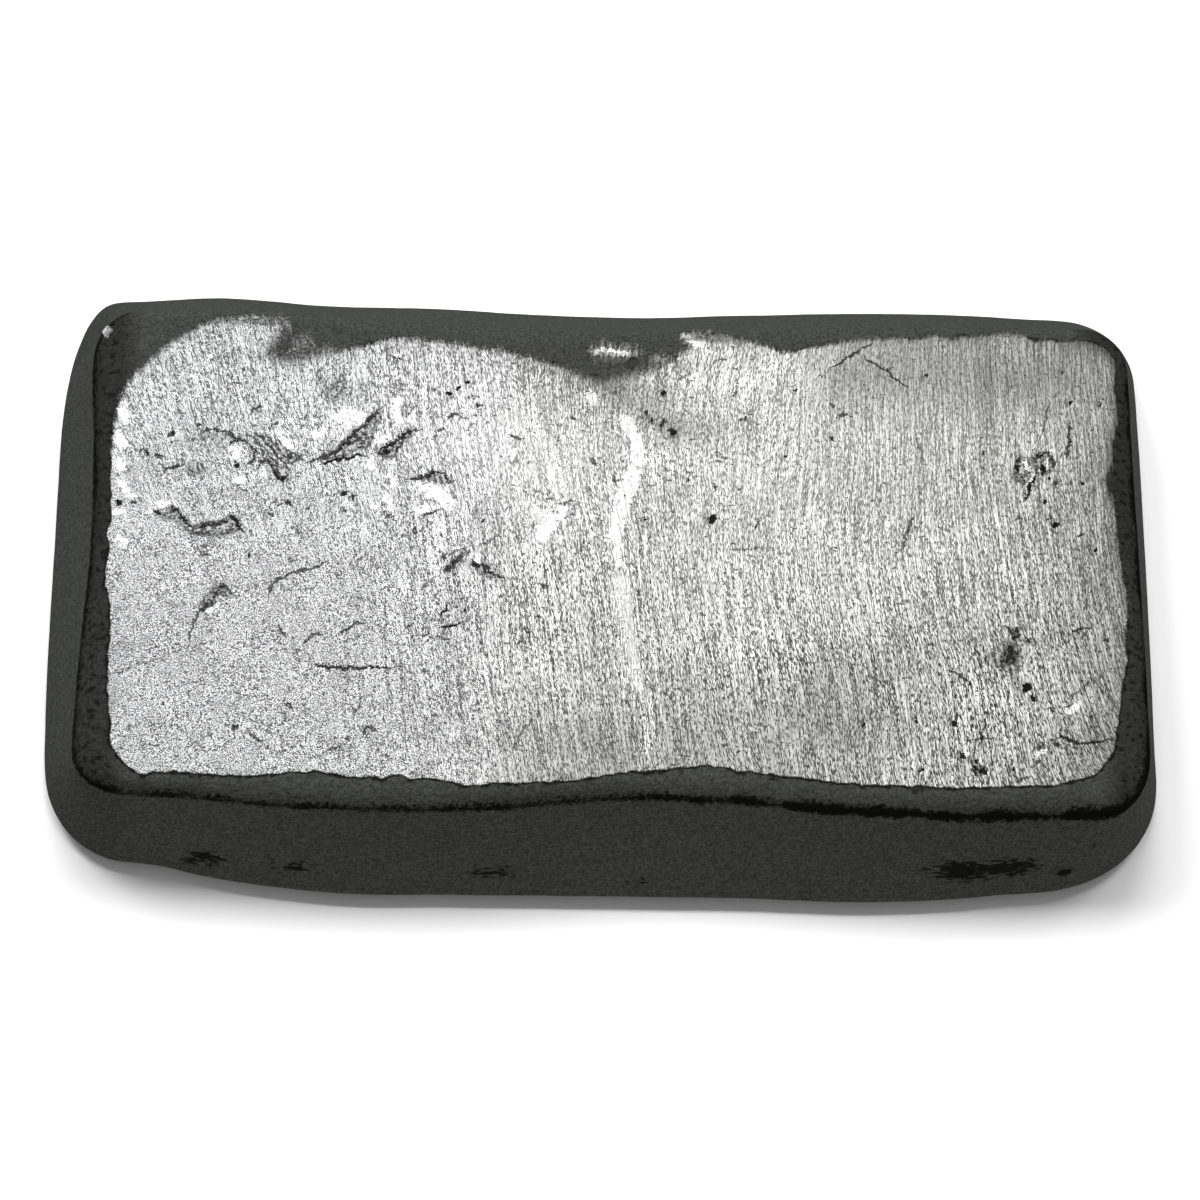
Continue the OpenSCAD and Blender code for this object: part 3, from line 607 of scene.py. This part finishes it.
class Face:
    """Points of the top as the camera sees them, and what the marks leave on them."""

    def __init__(self, seen):
        self.seen = seen
        self.wobble = np.column_stack([
            lattice_noise(seen, 0.7, seed) + 0.6 * lattice_noise(seen, 0.4, seed + 20) for seed in (1, 2)
        ])
        self.contrast = np.full(len(seen), BASE_CONTRAST)
        self.relief, self.dark, self.shade = np.zeros((3, len(seen)))
        self.hollows, self.pits, self.shine = np.full((3, len(seen)), FAR_OUTSIDE)
        self.line_gaps = np.full((LINE_LAYERS, len(seen)), NO_LINE)
        self.line_weights = np.zeros((LINE_LAYERS, len(seen)))
        self.paths = [[] for _ in range(LINE_LAYERS)]

    def near(self, path, reach):
        """Points near a path: their numbers, signed distances (left is positive) and shares along it."""
        path = rounded_path(path)
        inside = np.all((self.seen > path.min(0) - reach) & (self.seen < path.max(0) + reach), axis=1)
        picked = np.flatnonzero(inside)
        seen = self.seen[picked] + self.wobble[picked] * MARK_WOBBLE_MM
        gap = np.full(len(picked), np.inf)
        signed, share = np.zeros((2, len(picked)))
        for number, (a, b) in enumerate(zip(path, path[1:])):
            step = b - a
            t = np.clip(((seen - a) @ step) / (step @ step), 0, 1)
            off = seen - a - t[:, None] * step
            distance = np.linalg.norm(off, axis=1)
            closer = distance < gap
            gap[closer] = distance[closer]
            turn = step[1] * off[:, 0] - step[0] * off[:, 1]
            signed[closer] = (np.sign(turn) * distance)[closer]
            share[closer] = ((number + t) / (len(path) - 1))[closer]
        return picked, signed, share

    def hollow(self, outline, depth, shade):
        depth_in = polygon_depth(self.seen + self.wobble * MARK_WOBBLE_MM, in_mm(outline))
        self.relief -= depth * ease(np.clip(depth_in / 0.25 + 0.35, 0, 1))
        self.hollows = np.maximum(self.hollows, depth_in)
        # Painted shade inside the hollow
        self.shade += 0.4 * shade * np.clip(depth_in / 0.2 + 0.5, 0, 1)

    def fold(self, path, width, depth):
        width /= PIXELS_PER_MM
        picked, signed, share = self.near(path, 4 * width)
        ends = np.clip(np.minimum(share, 1 - share) * 8, 0.25, 1)
        low = np.where(signed < 0, np.exp(signed / width), np.exp(-((signed / width * 3) ** 2)))
        lip = np.exp(-(((signed - width * 0.7) / width * 1.6) ** 2))
        self.relief[picked] += (lip * 0.4 - low) * depth * ends

    def free_layer(self, path):
        """The first layer that is clear of a path, or else the one whose lines lie furthest off."""
        gaps = []
        for layer in self.paths:
            apart = [np.linalg.norm(p[:, None] - path[None], axis=2).min() for p in layer]
            gaps.append(min(apart, default=np.inf))
            if gaps[-1] > LINE_CLEAR_MM:
                break
        return int(np.argmax(gaps))

    def line(self, path, width, dark=USUAL_DARK):
        """A thin dark line, kept as a distance in half widths, so that it stays sharp between points."""
        placed = rounded_path(path)
        layer = self.free_layer(placed)
        self.paths[layer].append(placed)
        picked, signed, share = self.near(path, LINE_REACH_MM)
        half = width / 2 / PIXELS_PER_MM * np.clip(np.minimum(share, 1 - share) * 6, 0.35, 1)
        weight = dark * np.clip((0.42 - np.abs(signed)) / 0.12, 0, 1) * ((share > 0) & (share < 1))
        close = np.abs(signed) < LINE_REACH_MM
        self.line_gaps[layer, picked[close]] = np.clip(signed / half, -NO_LINE, NO_LINE)[close]
        self.line_weights[layer, picked[close]] = weight[close]

    def pit(self, centre, radius):
        offset = self.seen + self.wobble * PIT_WOBBLE_MM - in_mm(centre)
        gap = 0.85 * radius / PIXELS_PER_MM - np.linalg.norm(offset, axis=1)
        self.pits = np.maximum(self.pits, gap)
        self.relief -= PIT_DEPTH_MM * np.clip(gap / 0.2 + 0.5, 0, 1)

    def boss(self, centre, radius, rise):
        self.relief += rise * spot(self.seen, centre, radius, radius) ** 1.2

    def stain_and_shade(self, centre, reach_x, reach_y, dark):
        self.dark += dark * spot(self.seen + self.wobble * SOOT_AND_SHADE_WOBBLE_MM, centre, reach_x, reach_y)

    def contrast_spot(self, centre, reach_x, reach_y, change):
        self.contrast += change * spot(self.seen, centre, reach_x, reach_y)

    def paint_shade(self, path, width, share):
        width /= PIXELS_PER_MM
        picked, signed, _ = self.near(path, 3 * width)
        self.shade[picked] += share * np.exp(-((signed / width) ** 2))

    def polish_with_highlight(self, path, width, rise=USUAL_RISE_MM):
        half = width / 2 / PIXELS_PER_MM
        picked, signed, _ = self.near(path, half + 0.5)
        self.relief[picked] += 0.3 * rise * np.exp(-((signed / half) ** 2))
        self.shine[picked] = np.maximum(self.shine[picked], half - np.abs(signed))


def worked_face(seen, xy):
    """The top with every mark of the photograph worked into it."""
    face = Face(seen)
    pits = [(centre, radius) for radius, centres in PITS.items() for centre in centres]
    jobs = [
        (face.hollow, HOLLOWS), (face.fold, FOLDS), (face.line, LINES), (face.pit, pits),
        (face.boss, BOSSES), (face.stain_and_shade, STAINS_AND_SHADE), (face.paint_shade, SHADES),
        (face.contrast_spot, CONTRASTS), (face.polish_with_highlight, POLISHED_HIGHLIGHTS),
    ]
    for job, marks in jobs:
        for mark in marks:
            job(*mark)
    lumps = 0.05 * lattice_noise(xy, 1.7, 3) + 0.03 * lattice_noise(xy, 0.8, 4)
    face.relief += lumps * (0.25 + 0.75 * fade(xy[:, 0], -9, 3))
    return face


# Values on the points of the skin, which the finish is drawn from

def brush_lines(xy):
    """Coordinate across the brush strokes, which lean differently over the face."""
    x, y = xy.T
    side = np.maximum(x, -8)
    slope = 0.05 - 0.0055 * side + 0.00022 * side ** 2 + 0.011 * (side - x)
    lean = slope * y - (0.0062 + 0.0002 * side) * y ** 2 / 2
    return x + lean + 0.12 * lattice_noise(xy, 4, 5) + 0.5 * lattice_noise(xy, 9, 10)


def graininess(xy):
    """How far the strokes give way to plain grain: a little on the left, most at the lower left."""
    x, y = xy.T
    return 0.18 + 0.27 * fade(x, -18, 4) + 0.5 * fade(x, -10, 4) * fade(y, 2, 4)


def face_share(seen):
    """How far each point lies in the bright face, a half on its edge, and its distance inside."""
    inside = polygon_depth(seen, in_mm(FACE_EDGE))
    for island in BRIGHT_PATCHES_AND_GLINTS:
        inside = np.maximum(inside, polygon_depth(seen, in_mm(island)))
    inside += 0.12 * lattice_noise(seen, 1.1, 6) + 0.1 * lattice_noise(seen, 0.5, 7)
    soft = np.full(len(seen), 0.12)
    for centre, reach, softness in FEATHERS:
        soft += softness * spot(seen, centre, reach, reach)
    return np.clip(0.5 + inside / soft / 2, -2, 3), inside


def edge_fade(seen, inside):
    """Shade of the bright face along its softer edges."""
    share = np.zeros(len(seen))
    for centre, reach, most in EDGE_FADES:
        share = np.maximum(share, most * spot(seen, centre, reach, reach))
    return share * np.exp(-np.maximum(inside, 0) / 0.5)


def skin_soot_and_shade(xy, seen, inside, on_top):
    """Painted shade on the cast skin along the bright face and on the end shoulders, and soot in patches in
    front.
    """
    x, y = xy.T
    # Painted shade on the end shoulders, and along the edge of the bright face
    ends = np.clip((np.abs(x) / (BAR_LENGTH_MM / 2) - 0.84) / 0.04, 0, 1) * on_top
    painted_edge_shade = np.exp(np.minimum(inside, 0) / 0.2) * np.where(y < 0, 1.1, 0.7)
    soot_and_shade = np.maximum(0.3 * ends, painted_edge_shade)
    front = (y < 0) & ~on_top
    wobble = np.column_stack([lattice_noise(seen, 0.8, seed) for seed in (8, 9)]) * SOOT_AND_SHADE_WOBBLE_MM
    for centre, reach_x, reach_y, dark in SIDE_SOOT:
        soot_and_shade += front * dark * spot(seen + wobble, centre, reach_x, reach_y)
    return soot_and_shade


def painted_skin_shade_share(xy, rings):
    """Painted shade on the cast skin, by the way each part faces: round the sides, then over the top, more
    at the rear and the ends.
    """
    out = np.vstack([rim_columns()[1]] * (len(rings) - 1))
    sides = 0.25 * np.maximum(-out[:, 0], 0) + 0.36 * np.maximum(out[:, 1], 0)
    x, y = xy[len(sides) :].T
    ends = np.clip((np.abs(x) - 33) / 1.6, 0, 1)
    return np.concatenate([sides, 0.3 + 0.08 * (y > 0) + 0.35 * ends])


def crease_distance(points, xy, rings, from_rim):
    """Distance up or down from the crease in mm, which places the painted dark reflection along it; none
    along the rear edge, where no such line is painted.
    """
    sides = points[: len(points) - len(from_rim), 2] - rings[-1][0, 2]
    gap = np.concatenate([sides / MM * 1.1, from_rim])
    gap[(xy[:, 1] > 0) & (np.abs(xy[:, 0]) < 34)] = NO_LINE
    return gap


def paint_skin(mesh, points, rings, from_rim, face):
    """Writes the values of the marks and of the finish onto the points of the skin."""
    columns = len(rings[0])
    side_count = columns * len(rings)

    def inner(top_values):
        return top_values.reshape(TOP_CELLS_X + 1, TOP_CELLS_Y + 1)[1:-1, 1:-1].ravel()

    def on_points(top_values, on_sides=0.0):
        """A value for every point: one value on the sides, then the inside of the top."""
        return np.concatenate([np.full(side_count, on_sides), inner(top_values)])

    seen, xy = seen_from_camera(points), points[:, :2] / MM
    share, inside = face_share(seen)
    on_top = np.arange(len(points)) >= side_count - columns
    values = {
        "face_share": share,
        "crease_gap": crease_distance(points, xy, rings, inner(from_rim)),
        "soot_and_shade": skin_soot_and_shade(xy, seen, inside, on_top),
        "painted_skin_shade": painted_skin_shade_share(xy, rings),
        "dark": on_points(np.clip(face.dark, 0, 1.5)),
        "shade": np.clip(on_points(face.shade) + edge_fade(seen, inside), -0.5, 1),
        "contrast": on_points(np.clip(face.contrast, 0, 1)),
        "shine": on_points(face.shine, FAR_OUTSIDE),
        "hollow": on_points(face.hollows, FAR_OUTSIDE),
        "pit": on_points(face.pits, FAR_OUTSIDE),
        "brush": brush_lines(xy),
        "grainy": graininess(xy),
    }
    for name, numbers in values.items():
        layer = mesh.attributes.new(name, "FLOAT", "POINT")
        layer.data.foreach_set("value", numbers.astype(np.float32))
    for number, (gaps, weights) in enumerate(zip(face.line_gaps, face.line_weights)):
        vectors = [on_points(gaps, NO_LINE), on_points(weights), np.zeros(len(points))]
        layer = mesh.attributes.new(f"line_{number}", "FLOAT_VECTOR", "POINT")
        layer.data.foreach_set("vector", np.column_stack(vectors).astype(np.float32).ravel())


def quads(numbers):
    """Faces of a grid of point numbers."""
    corners = numbers[:-1, :-1], numbers[1:, :-1], numbers[1:, 1:], numbers[:-1, 1:]
    return np.dstack(corners).reshape(-1, 4).tolist()


def skin_mesh(rings, top):
    """Closed mesh of the foot, the rings round the sides and the grid of the top, and its points."""
    sides = np.arange(len(rings) * len(rings[0])).reshape(len(rings), -1)
    inside = top[1:-1, 1:-1]
    grid = np.zeros(top.shape[:2], int)
    grid[1:-1, 1:-1] = sides.size + np.arange(inside[..., 0].size).reshape(inside.shape[:2])
    for number, cell in zip(sides[-1], rim_cells()):
        grid[cell] = number
    points = np.vstack(rings + [inside.reshape(-1, 3)])
    foot = sides[0, ::-1].tolist()
    closed = np.column_stack([sides, sides[:, 0]])
    mesh = bpy.data.meshes.new("ingot_skin")
    mesh.from_pydata(points.tolist(), [], [foot] + quads(closed.T) + quads(grid))
    mesh.shade_smooth()
    return mesh, points


def build_skin():
    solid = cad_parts["ingot"].data
    tree = BVHTree.FromPolygons([v.co for v in solid.vertices], [p.vertices for p in solid.polygons])
    rings = side_rings(tree)
    top = top_grid(tree, rings[-1])
    plan = top[..., :2].reshape(-1, 2) / MM
    from_rim = polygon_depth(plan, rings[-1][:, :2] / MM)
    face = worked_face(seen_from_camera(top.reshape(-1, 3)), plan)
    relief = (face.relief * np.clip(from_rim / RIM_FADE_MM, 0, 1)).reshape(top.shape[:2])
    top[..., 2] = np.minimum(top[..., 2] + relief * MM, HIGH.z - TOP_MARGIN)
    mesh, points = skin_mesh(rings, top)
    paint_skin(mesh, points, rings, from_rim, face)
    return add_object("ingot_skin", mesh)


# Finish

class Shading:
    """Short names for the nodes that the finish is made of."""

    def __init__(self, material):
        material.use_nodes = True
        self.nodes, self.links = material.node_tree.nodes, material.node_tree.links
        self.shader = self.nodes["Principled BSDF"]

    def put(self, socket, value):
        if isinstance(value, bpy.types.NodeSocket):
            self.links.new(value, socket)
        else:
            socket.default_value = value

    def attribute(self, name, output="Fac"):
        node = self.nodes.new("ShaderNodeAttribute")
        node.attribute_name = name
        return node.outputs[output]

    def math(self, operation, a, b=0.0):
        node = self.nodes.new("ShaderNodeMath")
        node.operation = operation
        self.put(node.inputs[0], a)
        self.put(node.inputs[1], b)
        return node.outputs[0]

    def times(self, a, b):
        return self.math("MULTIPLY", a, b)

    def ruffle(self, value, noise, share):
        """The value, raised and lowered by a noise."""
        return self.math("ADD", value, self.times(self.math("SUBTRACT", noise, 0.5), share))

    def blend(self, share, a, b):
        """One number, moved by a share towards another."""
        return self.math("ADD", a, self.times(self.math("SUBTRACT", b, a), share))

    def ramp(self, value, low, high, to_low=0.0, to_high=1.0):
        node = self.nodes.new("ShaderNodeMapRange")
        node.interpolation_type = "SMOOTHSTEP"
        ends = {"From Min": low, "From Max": high, "To Min": to_low, "To Max": to_high}
        for name, number in ends.items():
            node.inputs[name].default_value = number
        self.put(node.inputs["Value"], value)
        return node.outputs["Result"]

    def from_middle(self, noise):
        return self.math("ABSOLUTE", self.math("SUBTRACT", noise, 0.5))

    def contour(self, noise, width):
        """Nought along the lines where a noise crosses its middle, one away from them."""
        return self.ramp(self.from_middle(noise), 0.0, width)

    def noise(self, vector, scale, detail):
        node = self.nodes.new("ShaderNodeTexNoise")
        node.inputs["Scale"].default_value = scale
        node.inputs["Detail"].default_value = detail
        self.put(node.inputs["Vector"], vector)
        return node.outputs["Fac"]

    def brushed(self, stroke, along, rates, detail):
        """Noise drawn out along the strokes, turned so that its cells form no rows."""
        across_rate, along_rate = rates
        node = self.nodes.new("ShaderNodeCombineXYZ")
        self.put(node.inputs[0], self.times(stroke, 0.84 * across_rate))
        self.put(node.inputs[1], self.times(along, along_rate))
        slant = self.ruffle(self.times(stroke, 0.54 * across_rate), along, 0.3 * along_rate)
        self.put(node.inputs[2], slant)
        return self.noise(node.outputs[0], 1, detail)

    def parted(self, vector):
        node = self.nodes.new("ShaderNodeSeparateXYZ")
        self.put(node.inputs[0], vector)
        return node.outputs

    def scaled(self, vector, factors):
        node = self.nodes.new("ShaderNodeVectorMath")
        node.operation = "MULTIPLY"
        self.put(node.inputs[0], vector)
        node.inputs[1].default_value = factors
        return node.outputs[0]

    def mix(self, share, a, b, kind="MIX"):
        node = self.nodes.new("ShaderNodeMix")
        node.data_type = "RGBA"
        node.blend_type = kind
        self.put(node.inputs["Factor"], share)
        self.put(node.inputs["A"], a)
        self.put(node.inputs["B"], b)
        return node.outputs["Result"]

    def bump(self, height, distance):
        node = self.nodes.new("ShaderNodeBump")
        node.inputs["Strength"].default_value = 1.0
        node.inputs["Distance"].default_value = distance
        self.put(node.inputs["Height"], height)
        return node.outputs["Normal"]


def grey(level, red=1.0, green=1.0, blue=1.0):
    return (level * red, level * green, level * blue, 1)


def shared_grain(s):
    """Places and noises that several parts of the finish are broken up by."""
    place = s.scaled(s.nodes.new("ShaderNodeTexCoord").outputs["Object"], (1 / MM,) * 3)
    x, y, _ = s.parted(place)
    stroke, grainy = s.attribute("brush"), s.attribute("grainy")
    combed = s.brushed(stroke, y, COMBED_RATES, 1)
    grains = s.noise(place, GRAINS_RATE, 1.5)
    return SimpleNamespace(
        place=place, x=x, y=y, stroke=stroke, grainy=grainy, combed=combed, grains=grains,
        strokes=s.blend(grainy, combed, grains), fine=s.noise(place, FINE_RATE, 2),
        ragged=s.noise(place, RAGGED_RATE, 2), broad=s.noise(place, BROAD_RATE, 1),
    )


def brushed_metal(s, g):
    """Colour of the ground face without its marks, with its painted shade and painted highlight bands, and
    the tone of its strokes.
    """
    hair = s.brushed(g.stroke, g.y, HAIR_RATES, 0)
    hair = s.ruffle(hair, s.brushed(g.stroke, g.y, GATHERED_RATES, 0), 0.4)
    hair = s.blend(g.grainy, hair, s.noise(g.place, SPECK_RATE, 0))
    thin = s.blend(g.grainy, s.contour(g.combed, 0.085), s.contour(g.grains, 0.1))
    tone = s.times(s.ramp(thin, 0, 1, 0.5, 1), s.ramp(hair, 0.4, 0.56, 0.06, 1))
    contrast, shade = s.attribute("contrast"), s.attribute("shade")
    metal = s.mix(tone, s.mix(contrast, grey(0.35), grey(0.0)), grey(0.84))

    long_strokes = s.brushed(g.stroke, g.y, LONG_RATES, 1)
    long_share = s.times(contrast, s.ramp(g.grainy, 0.3, 0.55, 1, 0.1))
    metal = s.mix(s.times(s.ramp(long_strokes, 0.6, 0.66, 0, 0.35), long_share), metal, grey(0.12))
    metal = s.mix(s.times(s.ramp(long_strokes, 0.34, 0.4, 0.35, 0), long_share), metal, grey(1.0))
    metal = s.mix(s.ramp(g.broad, 0.3, 0.7, 0.15, 0), metal, grey(0.3))
    # Painted highlight where the shade is below nought, painted shade where it is above
    metal = s.mix(s.times(shade, -1.0), metal, grey(1.0))
    return s.mix(shade, metal, grey(0.12)), tone


def dark_lines(s, g):
    """Share of the cracks, nicks and scratches, whose edges wander with the grain."""
    line = 0.0
    for layer in range(LINE_LAYERS):
        across, weight, _ = s.parted(s.attribute(f"line_{layer}", "Vector"))
        edge = s.ruffle(s.math("ABSOLUTE", s.ruffle(across, g.ragged, 7)), g.fine, 4)
        line = s.math("MAXIMUM", line, s.times(s.ramp(edge, 0.9, 1.7, 1, 0), weight))
    return line


def small_nicks(s, g):
    """Share of the scattered nicks and of the curled tears, which are most on the left."""
    nicks = s.noise(s.scaled(g.place, NICK_RATES), 1, 2)
    nick = s.math("MAXIMUM", s.ramp(nicks, 0.66, 0.68), s.ramp(g.grains, 0.7, 0.72))
    swirl = s.ruffle(s.from_middle(s.noise(g.place, 0.9, 3)), g.fine, 0.03)
    torn = s.ruffle(s.noise(g.place, 0.45, 1), s.ramp(g.x, -5, 12, 0.5, 0.35), 1)
    curl = s.times(s.ramp(swirl, 0.006, 0.018, 1, 0), s.ramp(torn, 0.48, 0.56))
    return s.math("MAXIMUM", nick, s.times(curl, 0.8))


def marked_metal(s, g):
    """Colour of the ground face with its hollows, polished places, soot, painted shade, nicks, pits and
    lines.
    """
    metal, tone = brushed_metal(s, g)
    hollow = s.ramp(s.ruffle(s.attribute("hollow"), g.fine, 0.25), -0.03, 0.06)
    pit = s.ramp(s.ruffle(s.ruffle(s.attribute("pit"), g.ragged, 0.5), g.fine, 0.3), 0, 0.05)
    shine = s.ruffle(s.ruffle(s.attribute("shine"), g.ragged, 0.8), g.fine, 0.6)
    soot_and_shade = s.ruffle(s.ruffle(s.attribute("dark"), g.strokes, 1.0), g.ragged, 0.9)
    shaded_hollow_tone = s.mix(s.ramp(s.ruffle(g.strokes, g.fine, 0.9), 0.4, 0.62), grey(0.02), grey(0.5))
    # Hollows: unbrushed metal, darkened partly as painted shade
    metal = s.mix(s.times(hollow, 0.8), metal, shaded_hollow_tone)
    # Polished places, their white partly a painted highlight
    metal = s.mix(s.ramp(shine, -0.04, 0.16), metal, s.mix(tone, grey(0.66), grey(1.0)))
    # Soot, and painted shade in the scoop
    metal = s.mix(s.ramp(s.ruffle(soot_and_shade, g.fine, 0.6), 0.4, 0.68), metal, grey(0.02))
    metal = s.mix(s.times(small_nicks(s, g), 0.85), metal, grey(0.05))
    metal = s.mix(s.math("MAXIMUM", pit, dark_lines(s, g)), metal, grey(0.012))
    tint = s.mix(s.ramp(g.x, -30, 34), grey(1, 0.985, 0.99, 1), grey(1, 0.99, 1, 0.94))
    return s.mix(1.0, metal, tint, "MULTIPLY")


def cast_skin(s, g, skin_grain):
    """Colour of the dark skin: specks, soot with painted shade, painted shade by the way each part faces,
    and a painted dark reflection along the crease.
    """
    speck = s.ramp(s.blend(0.75, skin_grain, g.fine), 0.32, 0.68)
    skin = s.mix(speck, grey(0.036, 1, 1.05, 0.93), grey(0.084, 1, 1.04, 0.95))
    streak = s.noise(s.scaled(g.place, STREAK_RATES), 1, 2)
    # Soot in front, painted shade along the bright face and on the end shoulders
    mottled = s.ruffle(s.ruffle(s.attribute("soot_and_shade"), streak, 1.6), g.fine, 0.7)
    skin = s.mix(s.ramp(mottled, 0.32, 0.62, 0, 0.9), skin, grey(0.005, 1, 1.1, 0.85))
    # Painted shade, by the way each part of the skin faces
    skin = s.mix(s.attribute("painted_skin_shade"), skin, grey(0.006))
    # Painted dark reflection along the crease
    gap = s.math("ABSOLUTE", s.ruffle(s.attribute("crease_gap"), g.ragged, 0.9))
    swell = s.ramp(s.ruffle(g.broad, g.fine, 0.3), 0.35, 0.65, 0, 0.4)
    crease = s.math("SUBTRACT", gap, s.times(s.ramp(g.x, -10, 20, 0.35, 1), swell))
    painted_crease_reflection = s.ramp(s.ruffle(crease, g.fine, 0.4), -0.08, 0.24, 0.95, 0)
    return s.mix(painted_crease_reflection, skin, grey(0.004, 1, 1.1, 0.8))


def cast_metal():
    """Ground bright metal where the face was brushed, dark cast skin everywhere else."""
    material = bpy.data.materials.new("cast_metal")
    s = Shading(material)
    g = shared_grain(s)
    skin_grain = s.noise(g.place, SKIN_RATE, 2)
    share = s.attribute("face_share")
    bright = s.ramp(s.ruffle(s.ruffle(share, g.strokes, 0.6), g.fine, 0.5), 0.28, 0.72)
    skin_relief, stroke_relief = s.times(skin_grain, SKIN_BUMP), s.times(g.strokes, STROKE_BUMP)
    relief = s.blend(s.ramp(share, 0.3, 0.7), skin_relief, stroke_relief)
    colour = s.mix(bright, cast_skin(s, g, skin_grain), marked_metal(s, g))
    s.put(s.shader.inputs["Base Color"], colour)
    s.put(s.shader.inputs["Metallic"], bright)
    s.put(s.shader.inputs["Roughness"], s.blend(bright, SKIN_ROUGHNESS, METAL_ROUGHNESS))
    s.put(s.shader.inputs["Specular IOR Level"], 0.0)
    s.put(s.shader.inputs["Normal"], s.bump(relief, MM))
    return material


# Light and floor

def area_light(name, direction, distance, size_x, size_y, radiance):
    """Soft box that faces the bar; its radiance is what a mirror in the bar would show."""
    data = bpy.data.lights.new(name, "AREA")
    data.shape = "RECTANGLE"
    data.size, data.size_y = size_x * LENGTH, size_y * LENGTH
    data.energy = radiance * math.pi * data.size * data.size_y
    light = add_object(name, data)
    back = np.array(direction) / np.linalg.norm(direction)
    light.matrix_world = turned(*level_axes(back), back, back * distance * LENGTH)
    return light


def make_light():
    world = bpy.data.worlds.new("world")
    bpy.context.scene.world = world
    world.use_nodes = True
    nodes, links = world.node_tree.nodes, world.node_tree.links
    path = nodes.new("ShaderNodeLightPath")
    mix = nodes.new("ShaderNodeMixShader")
    plain, mirrored = nodes["Background"], nodes.new("ShaderNodeBackground")
    for number, (node, strength) in enumerate(((plain, SURROUND), (mirrored, MIRRORED_SURROUND))):
        node.inputs["Color"].default_value = grey(1)
        node.inputs["Strength"].default_value = strength
        links.new(node.outputs[0], mix.inputs[1 + number])
    links.new(path.outputs["Is Glossy Ray"], mix.inputs["Fac"])
    links.new(mix.outputs[0], nodes["World Output"].inputs["Surface"])
    for box in MIRRORED_BOXES:
        area_light(*box).visible_diffuse = False
    for box in KEY_BOXES:
        area_light(*box).visible_glossy = False
    view = bpy.context.scene.view_settings
    view.view_transform = "Standard"
    view.look = "None"


def make_floor():
    side = FLOOR_REACH
    mesh = bpy.data.meshes.new("floor")
    corners = [(-side, -side, 0), (side, -side, 0), (side, side, 0), (-side, side, 0)]
    mesh.from_pydata(corners, [], [(0, 1, 2, 3)])
    material = bpy.data.materials.new("floor")
    material.use_nodes = True
    shader = material.node_tree.nodes["Principled BSDF"]
    shader.inputs["Base Color"].default_value = grey(FLOOR_GREY)
    shader.inputs["Roughness"].default_value = 0.9
    shader.inputs["Specular IOR Level"].default_value = 0
    mesh.materials.append(material)
    floor = add_object("floor", mesh)
    floor.location.z = LOW.z - FLOOR_GAP


make_camera()
skin = build_skin()
skin.data.materials.append(cast_metal())
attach(skin, "root")
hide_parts("ingot")
make_light()
make_floor()
